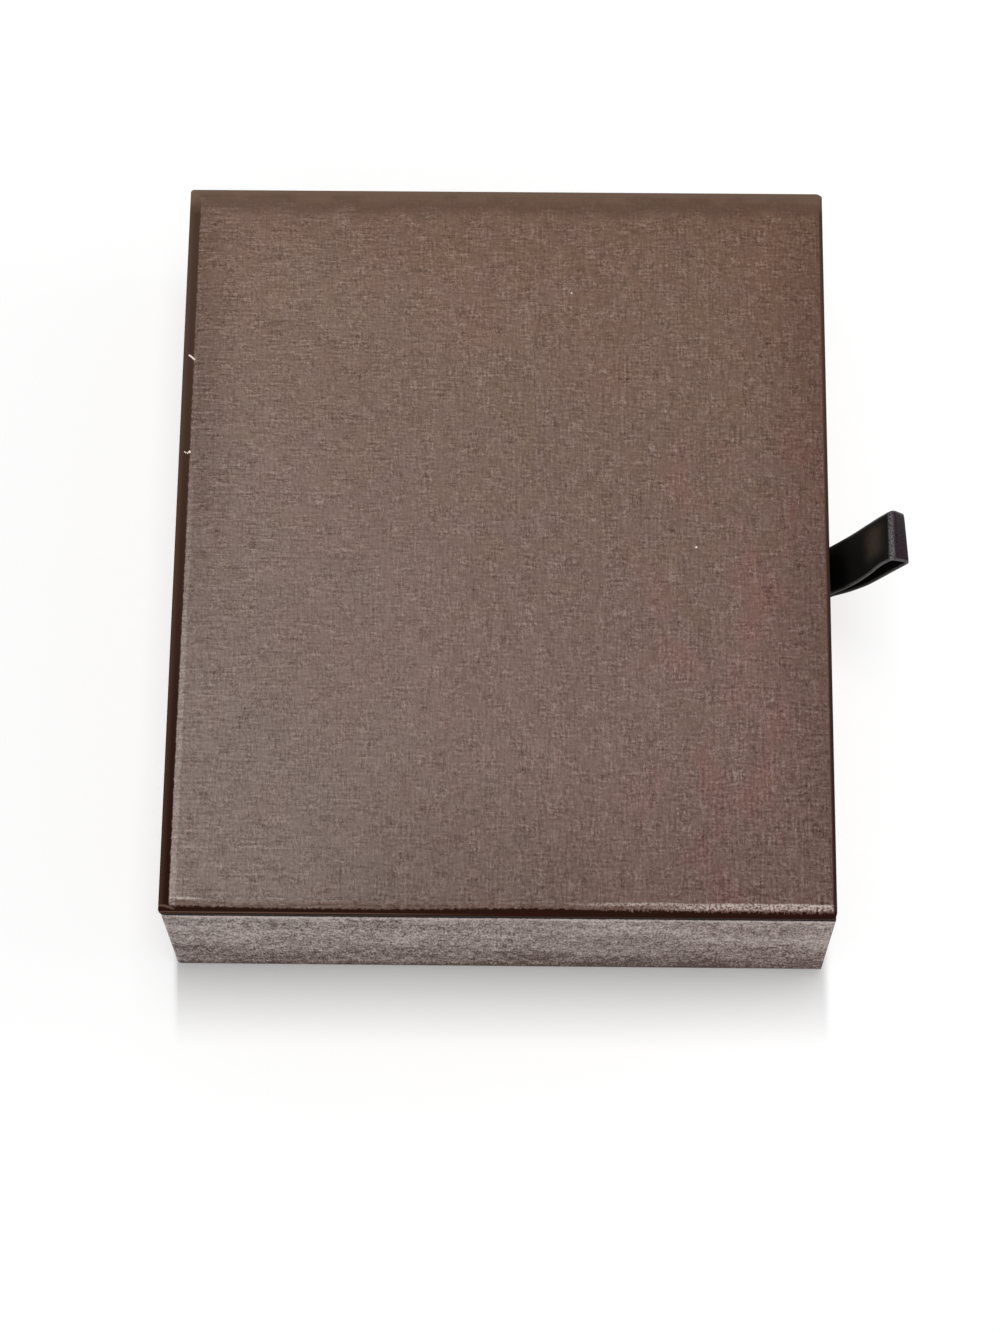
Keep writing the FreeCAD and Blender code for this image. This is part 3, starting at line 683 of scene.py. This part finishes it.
def skin_of_cover():
    """The top as a grid, then rings down from its outline: the upright edge, the turn and the flap below."""
    xs = edge_spacing(HALF_LENGTH, EDGE_STEP, EDGE_ZONE, MIDDLE_STEP)
    ys = edge_spacing(HALF_WIDTH, EDGE_STEP, EDGE_ZONE, MIDDLE_STEP)
    flat_x, flat_y = np.meshgrid(xs, ys, indexing="ij")
    x, y = round_plan(flat_x, flat_y)
    points = np.stack([x, y, cover_height(flat_x, flat_y)], -1)
    numbers = np.arange(x.size).reshape(x.shape)
    rim = np.concatenate([numbers[:, 0], numbers[-1, 1:], numbers[-2::-1, -1], numbers[0, -2:0:-1]])
    points = points.reshape(-1, 3)
    outline = points[rim]
    ahead, behind = np.roll(outline, -1, 0), np.roll(outline, 1, 0)
    out = np.stack([(ahead - behind)[:, 1], -(ahead - behind)[:, 0]], -1)
    out /= np.linalg.norm(out, axis=1, keepdims=True)
    rows = []
    for share in (0.25, 0.5, 0.75):
        height = outline[:, 2] + (UNDER + TURN_RADIUS - outline[:, 2]) * share
        rows.append(np.column_stack([outline[:, :2], height]))
    for angle in np.linspace(0, math.pi / 2, 5):
        level = np.full(len(outline), UNDER + TURN_RADIUS * (1 - math.sin(angle)))
        rows.append(np.column_stack([outline[:, :2] - out * TURN_RADIUS * (1 - math.cos(angle)), level]))
    flap = outline[:, :2] * (1 - TURN_IN / np.array([HALF_LENGTH, HALF_WIDTH]))
    rows.append(np.column_stack([flap, np.full(len(flap), UNDER)]))
    rings = len(points) + np.arange(len(rows) * len(rim)).reshape(len(rows), len(rim))
    rings = np.vstack([rim[None, :], rings])
    quads = np.vstack([grid_quads(numbers), grid_quads(rings, wrap=True)])[:, ::-1]
    return np.vstack([points, *rows]), quads


def thicken(piece, thickness):
    """Gives an open skin its paper's thickness, inwards, and applies it."""
    solid = piece.modifiers.new("thickness", "SOLIDIFY")
    solid.thickness, solid.offset = thickness * MM, -1
    ready = bpy.data.meshes.new_from_object(piece.evaluated_get(bpy.context.evaluated_depsgraph_get()))
    piece.modifiers.clear()
    piece.data = ready


cover_points, cover_quads = skin_of_cover()
cover_skin = mesh_piece("cover_skin", cover_points, cover_quads, cover_linen)
thicken(cover_skin, SKIN_THICKNESS)
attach(cover_skin, "case")
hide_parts("cover_paper")
print("cover skin:", len(cover_skin.data.polygons), "faces")

# %% [markdown]
# ## The ribbon
# One length of black ribbon is folded double. Its two ends pass through a slot in the drawer's end and are
# glued inside, up and down. Outside, both legs lie together, then part and turn square at the tip. The mesh
# is one flat cross-section carried along one path, worked out as arrays. The loop bends where it leaves the
# drawer.

# %% Draw the ribbon's path from end to end
RIBBON_WIDTH = 10.0
RIBBON_THICKNESS = 0.5
FOLD = next(joint for joint in frame["joints"] if joint["name"] == "ribbon_fold")
FOLD_X, FOLD_Z = FOLD["pos_m"][0] / MM, FOLD["pos_m"][2] / MM
LIFT = math.radians(57.4)
LOOP_LENGTH = 24.6
ROOT_BEND = 2.2
TAIL_LENGTH, TAIL_BEND = 11.0, 0.9
TAIL_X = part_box("ribbon_tails")[0].x / MM + RIBBON_THICKNESS / 2

# Each edge of the loop, seen from its side: points (along, across) on its two legs, from the root outwards,
# and the tip's two corners with their radii.
NEAR_EDGE = {
    "upper": [
        (0, 0.3), (3.3, 0.42), (6.2, 0.1), (10.3, 0.2),
        (14.9, 0.85), (18.6, 1.75), (20.7, 2.15), (22.4, 2.25),
    ],
    "lower": [
        (0, -0.3), (2, -0.42), (4, -1.1), (6.2, -1.7),
        (10.2, -2.25), (14.3, -2.15), (18.8, -1.85), (23.2, -1.65),
    ],
    "corners": ((24.1, 2.25, 1.1), (24.6, -1.45, 0.45)),
}
FAR_EDGE = {
    "upper": [
        (0, 0.3), (3.3, 0.4), (7, 0.6), (10.6, 0.85),
        (14, 1.25), (17.4, 1.65), (20.7, 2.0), (23.1, 2.15),
    ],
    "lower": [
        (0, -0.3), (2, -0.4), (4, -0.95), (6.5, -1.5),
        (10, -1.95), (14, -2.1), (18, -1.95), (22.2, -1.4),
    ],
    "corners": ((24.75, 2.2, 0.8), (24.15, -0.95, 0.6)),
}


def smooth_line(pairs, count):
    """A smooth curve through points: each coordinate is a cubic (Hermite) in the point's number."""
    pairs = np.array(pairs, float)
    slopes = np.gradient(pairs, axis=0)
    t = np.linspace(0, len(pairs) - 1, count)
    k = np.minimum(t.astype(int), len(pairs) - 2)
    f = (t - k)[:, None]
    h00, h10 = 2 * f**3 - 3 * f**2 + 1, f**3 - 2 * f**2 + f
    h01, h11 = 3 * f**2 - 2 * f**3, f**3 - f**2
    return h00 * pairs[k] + h10 * slopes[k] + h01 * pairs[k + 1] + h11 * slopes[k + 1]


def soft_corner(before, corner, after, radius):
    """A corner rounded by a quadratic curve that starts a radius before it and ends a radius after it."""
    before, corner, after = (np.array(p, float) for p in (before, corner, after))
    start = corner + radius * (before - corner) / np.linalg.norm(before - corner)
    end = corner + radius * (after - corner) / np.linalg.norm(after - corner)
    t = np.linspace(0, 1, 9)[:, None]
    return (1 - t) ** 2 * start + 2 * t * (1 - t) * corner + t**2 * end


def loop_side(edge):
    """The loop seen from its side, from the upper leg's root round the square tip to the lower leg's."""
    upper, lower = smooth_line(edge["upper"], 60), smooth_line(edge["lower"], 60)
    (*high, high_radius), (*low, low_radius) = edge["corners"]
    tip = [soft_corner(upper[-1], high, low, high_radius), soft_corner(high, low, lower[-1], low_radius)]
    return np.vstack([upper, *tip, lower[::-1]])


def even(path, count):
    """The same path with evenly spaced points, by its summed length."""
    length = np.concatenate([[0], np.cumsum(np.linalg.norm(np.diff(path, axis=0), axis=1))])
    wanted = np.linspace(0, length[-1], count)
    return np.column_stack([np.interp(wanted, length, path[:, i]) for i in range(2)])


def bend_up(path):
    """Turns the level loop up at its root. A point at a distance s along it lies on a line whose heading goes
    from level to LIFT by a smooth step of s, and a point beside that line is set off square to it. The line
    is then shifted so that its straight part starts from the fold."""
    s = np.linspace(-8, LOOP_LENGTH + 1, 700)
    share = np.clip((s + ROOT_BEND) / (2 * ROOT_BEND), 0, 1)
    heading = LIFT * share * share * (3 - 2 * share)
    step = np.gradient(s)
    x, z = np.cumsum(np.cos(heading) * step), np.cumsum(np.sin(heading) * step)
    x += FOLD_X + LOOP_LENGTH * math.cos(LIFT) - np.interp(LOOP_LENGTH, s, x)
    z += FOLD_Z + LOOP_LENGTH * math.sin(LIFT) - np.interp(LOOP_LENGTH, s, z)
    along, across = path.T
    angle = np.interp(along, s, heading)
    px = np.interp(along, s, x) - across * np.sin(angle)
    pz = np.interp(along, s, z) + across * np.cos(angle)
    return np.column_stack([px, pz])


def ribbon_path(edge, count):
    """Tail, slot, upper leg, tip, lower leg, slot, tail: x and z in millimetres."""
    lead = np.column_stack([np.linspace(-7, -0.2, 20), np.full(20, 0.3)])
    path = bend_up(np.vstack([lead, loop_side(edge), (lead * (1, -1))[::-1]]))
    path = path[path[:, 0] > TAIL_X + TAIL_BEND]
    ends = []
    for (x, z), way in ((path[0], 1), (path[-1], -1)):
        corner = (TAIL_X, z)
        end = (TAIL_X, z + way * TAIL_LENGTH)
        bend = soft_corner((x, z), corner, end, TAIL_BEND)
        ends.append(np.vstack([end, bend[::-1]]))
    return even(np.vstack([ends[0], path, ends[1][::-1]]), count)


RINGS = 340
near_line, far_line = (ribbon_path(edge, RINGS) for edge in (NEAR_EDGE, FAR_EDGE))
RIBBON_LENGTH = float(np.linalg.norm(np.diff((near_line + far_line) / 2, axis=0), axis=1).sum())
print("ribbon length", round(RIBBON_LENGTH, 1), "mm")

# %% Weave the ribbon's finish
RIB_PITCH, RIB_RELIEF = 0.4, 0.035
RIBBON_DARK, RIBBON_LIGHT = (0.0012, 0.0009, 0.0009, 1), (0.0042, 0.0033, 0.0032, 1)
# The next colours are painted light: a warm sheen, the lit end face of the tip, the crease's highlight and the
# edges' highlight.
SHEEN_BROWN = (0.052, 0.036, 0.025, 1)
TIP_LIT_GREY = (0.058, 0.030, 0.044, 1)
RIBBON_CREASE_HIGHLIGHT = (0.135, 0.126, 0.130, 1)
SELVEDGE_HIGHLIGHT_GREY = (0.110, 0.104, 0.104, 1)


def satin_ribbon():
    """Black ribbon: fine ribs across its length, woven edges that are greyer and carry a painted highlight, a
    painted highlight on the crease and painted light on the tip's end face, a painted warm sheen on the upper
    leg, and a faint sheen."""
    shader = Shader("satin_ribbon")
    uv = shader.node("ShaderNodeUVMap", {"uv_map": "ribbon"})
    length, width = (shader.node("ShaderNodeSeparateXYZ", None, (uv,), out=axis) for axis in range(2))
    ribs = abs((length * (math.pi / RIB_PITCH)).sine())
    fibre = shader.noise(shader.point(length * 1.2, width * 7.0), 1.0, 3.0, 0.6)
    speckle = shader.noise(shader.point(length * 3.0, width * 3.0, 4.0), 1.0, 2.0, 0.6)
    past_tip = length - RIBBON_LENGTH / 2
    # The woven edges are greyer, and a painted highlight runs along them.
    selvedge_and_highlight = abs(width).rise(4.5, 4.8) * (0.3 + speckle.rise(0.35, 0.65) * 0.9)
    # Painted highlight along the crease at the tip.
    crease = past_tip.near(-2.3, 0.2, 0.75) * speckle.rise(0.36, 0.62)
    # Painted light on the tip's end face, which faces up toward the lamps.
    tip = past_tip.near(0.0, 1.9, 2.3) * fibre.rise(0.25, 0.8)
    # Painted sheen on the upper leg, where its curve would catch the light.
    leg_sheen = past_tip.near(-8.0, 0.5, 5.0) * width.near(0.5, 1.5, 4.5)
    colour = shader.blend(fibre.rise(0.3, 0.75), RIBBON_DARK, RIBBON_LIGHT)
    colour = shader.blend(leg_sheen * fibre.rise(0.2, 0.7), colour, SHEEN_BROWN)
    colour = shader.blend(tip, colour, TIP_LIT_GREY)
    colour = shader.blend(crease, colour, RIBBON_CREASE_HIGHLIGHT)
    colour = shader.blend(selvedge_and_highlight, colour, SELVEDGE_HIGHLIGHT_GREY)
    height = ribs * 0.5 + fibre * 0.5
    satin = shader.principled(
        Base_Color=colour,
        Roughness=0.46 + fibre * 0.12,
        Normal=shader.bump(height, RIB_RELIEF),
        Specular_IOR_Level=0.22,
        Sheen_Weight=0.02,
        Sheen_Roughness=0.4,
    )
    return shader.finish(satin)


print("ribbon finish ready")

# %% Carry the ribbon's cross-section along its path
def ribbon_mesh():
    """The ribbon's middle surface joins its near and far edges by straight lines across. The mesh is rings
    round that surface, half the thickness above and below it along its normal, which is the cross product of
    the steps along and across. The thickness falls a little at the two edges."""
    across = np.linspace(-1, 1, 15)
    share = ((across + 1) / 2)[None, :, None]
    flat = near_line[:, None, :] * (1 - share) + far_line[:, None, :] * share
    y = np.broadcast_to(across * RIBBON_WIDTH / 2, flat.shape[:2])
    middle = np.stack([flat[..., 0], y, flat[..., 1]], -1)
    normal = np.cross(np.gradient(middle, axis=1), np.gradient(middle, axis=0))
    normal /= np.linalg.norm(normal, axis=-1, keepdims=True)
    half = (RIBBON_THICKNESS / 2 * (1 - 0.3 * np.abs(across) ** 12))[None, :, None]
    rings = np.concatenate([middle + normal * half, (middle - normal * half)[:, ::-1]], axis=1)
    numbers = np.arange(rings.shape[0] * rings.shape[1]).reshape(rings.shape[:2])
    caps = []
    for row in (0, -1):
        front, back = numbers[row, : len(across)], numbers[row, len(across) :][::-1]
        cap = np.stack([front[:-1], front[1:], back[1:], back[:-1]], -1)
        caps.append(cap if row == 0 else cap[:, ::-1])
    length = np.linspace(0, RIBBON_LENGTH, len(rings))
    flat_map = np.stack([np.broadcast_to(length[:, None], rings.shape[:2]), rings[..., 1]], -1)
    return rings.reshape(-1, 3), np.vstack([grid_quads(numbers, wrap=True), *caps]), flat_map.reshape(-1, 2)


points, quads, flat_map = ribbon_mesh()
ribbon = mesh_piece("pull_ribbon", points, quads, satin_ribbon())
layer = ribbon.data.uv_layers.new(name="ribbon")
corners = np.zeros(len(ribbon.data.loops), np.int32)
ribbon.data.loops.foreach_get("vertex_index", corners)
layer.data.foreach_set("uv", flat_map[corners].astype(np.float32).ravel())
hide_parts("ribbon_loop", "ribbon_tails")
FOLD_Z * MM
FOLD_Z * MM
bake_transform(ribbon)
print("ribbon:", len(ribbon.data.polygons), "faces")

# %% [markdown]
# ## The studio
# A white floor and an even white world light the box from all round. A window lamp, high on the left, gives
# the paper its haze, and a low one in front opens up the front wall. Both are linked to the box alone. The
# floor has three lamps of its own. The strongest is overhead and behind, and the box blocks its light, so the
# shadow falls toward the viewer. A wide one overhead softens that shadow, and a small low one brightens the
# ribbon's side. The ribbon blocks only the wide one.

# %% Lay the floor
FLOOR_GLOW = 0.17
FLOOR_HALF = 4000.0
FLOOR_HEIGHT = -0.02


def white_floor():
    """A matt white floor. It looks a little brighter to the camera and in reflections than to the box."""
    shader = Shader("white_floor")
    matt = shader.node("ShaderNodeBsdfDiffuse", None, {"Color": (0.86, 0.86, 0.86, 1)})
    glow = shader.node("ShaderNodeEmission", None, {"Color": (1, 1, 1, 1), "Strength": FLOOR_GLOW})
    both = shader.node("ShaderNodeAddShader", None, (matt, glow))
    rays = "ShaderNodeLightPath"
    seen = shader.node(rays, out="Is Camera Ray").larger(shader.node(rays, out="Is Glossy Ray"))
    seen = seen.larger(shader.node(rays, out="Is Transmission Ray"))
    look = shader.node("ShaderNodeMixShader", None, (seen, matt, both))
    shader.node("ShaderNodeOutputMaterial", None, {"Surface": look}, out=None)
    return shader.material


floor_plan = ((-1, -1), (1, -1), (1, 1), (-1, 1))
floor_points = [(x * FLOOR_HALF, y * FLOOR_HALF, FLOOR_HEIGHT) for x, y in floor_plan]
floor = mesh_piece("floor", floor_points, np.array([[0, 1, 2, 3]]), white_floor(), smooth=False)
print("floor", 2 * FLOOR_HALF * MM, "m across")

# %% Light it
WORLD_STRENGTH = 0.3


def soft_lamp(name, position, size, power, floor_state, ribbon_shade=True):
    """A rectangular area lamp of this size, aimed at the box from its position, in metres. The floor's state
    is INCLUDE, where the lamp lights the floor alone, or EXCLUDE, where it lights all but the floor. With
    ribbon_shade False the ribbon doesn't block it."""
    lamp = bpy.data.lights.new(name, "AREA")
    lamp.shape, lamp.energy = "RECTANGLE", power
    lamp.size, lamp.size_y = size
    made = bpy.data.objects.new(name, lamp)
    scene.collection.objects.link(made)
    made.location = position
    made.rotation_euler = (-Vector(position)).to_track_quat("-Z", "Y").to_euler()
    group = bpy.data.collections.new(name + "_floor")
    group.objects.link(floor)
    group.collection_objects[0].light_linking.link_state = floor_state
    made.light_linking.receiver_collection = group
    if not ribbon_shade:
        shades = bpy.data.collections.new(name + "_shades")
        shades.objects.link(ribbon)
        shades.collection_objects[0].light_linking.link_state = "EXCLUDE"
        made.light_linking.blocker_collection = shades
    return made


world = bpy.data.worlds.new("white_room")
scene.world = world
world.use_nodes = True
background = world.node_tree.nodes["Background"]
background.inputs["Color"].default_value = (1, 1, 1, 1)
background.inputs["Strength"].default_value = WORLD_STRENGTH
lamps = [
    soft_lamp("floor_lamp", (-0.06, 1.08, 5.44), (0.2, 2.24), 143, "INCLUDE", ribbon_shade=False),
    soft_lamp("wide_floor_lamp", (0.24, 0, 2.72), (1.8, 0.8), 17, "INCLUDE"),
    soft_lamp("side", (0.4, 0, 0.25), (0.3, 0.3), 0.25, "INCLUDE", ribbon_shade=False),
    soft_lamp("window", (-0.44, 0.24, 1.32), (0.3, 0.3), 14, "EXCLUDE"),
    soft_lamp("front", (-0.2, -1.2, 0.35), (0.9, 0.5), 6, "EXCLUDE"),
]
print("lights: world and", [lamp.name for lamp in lamps])
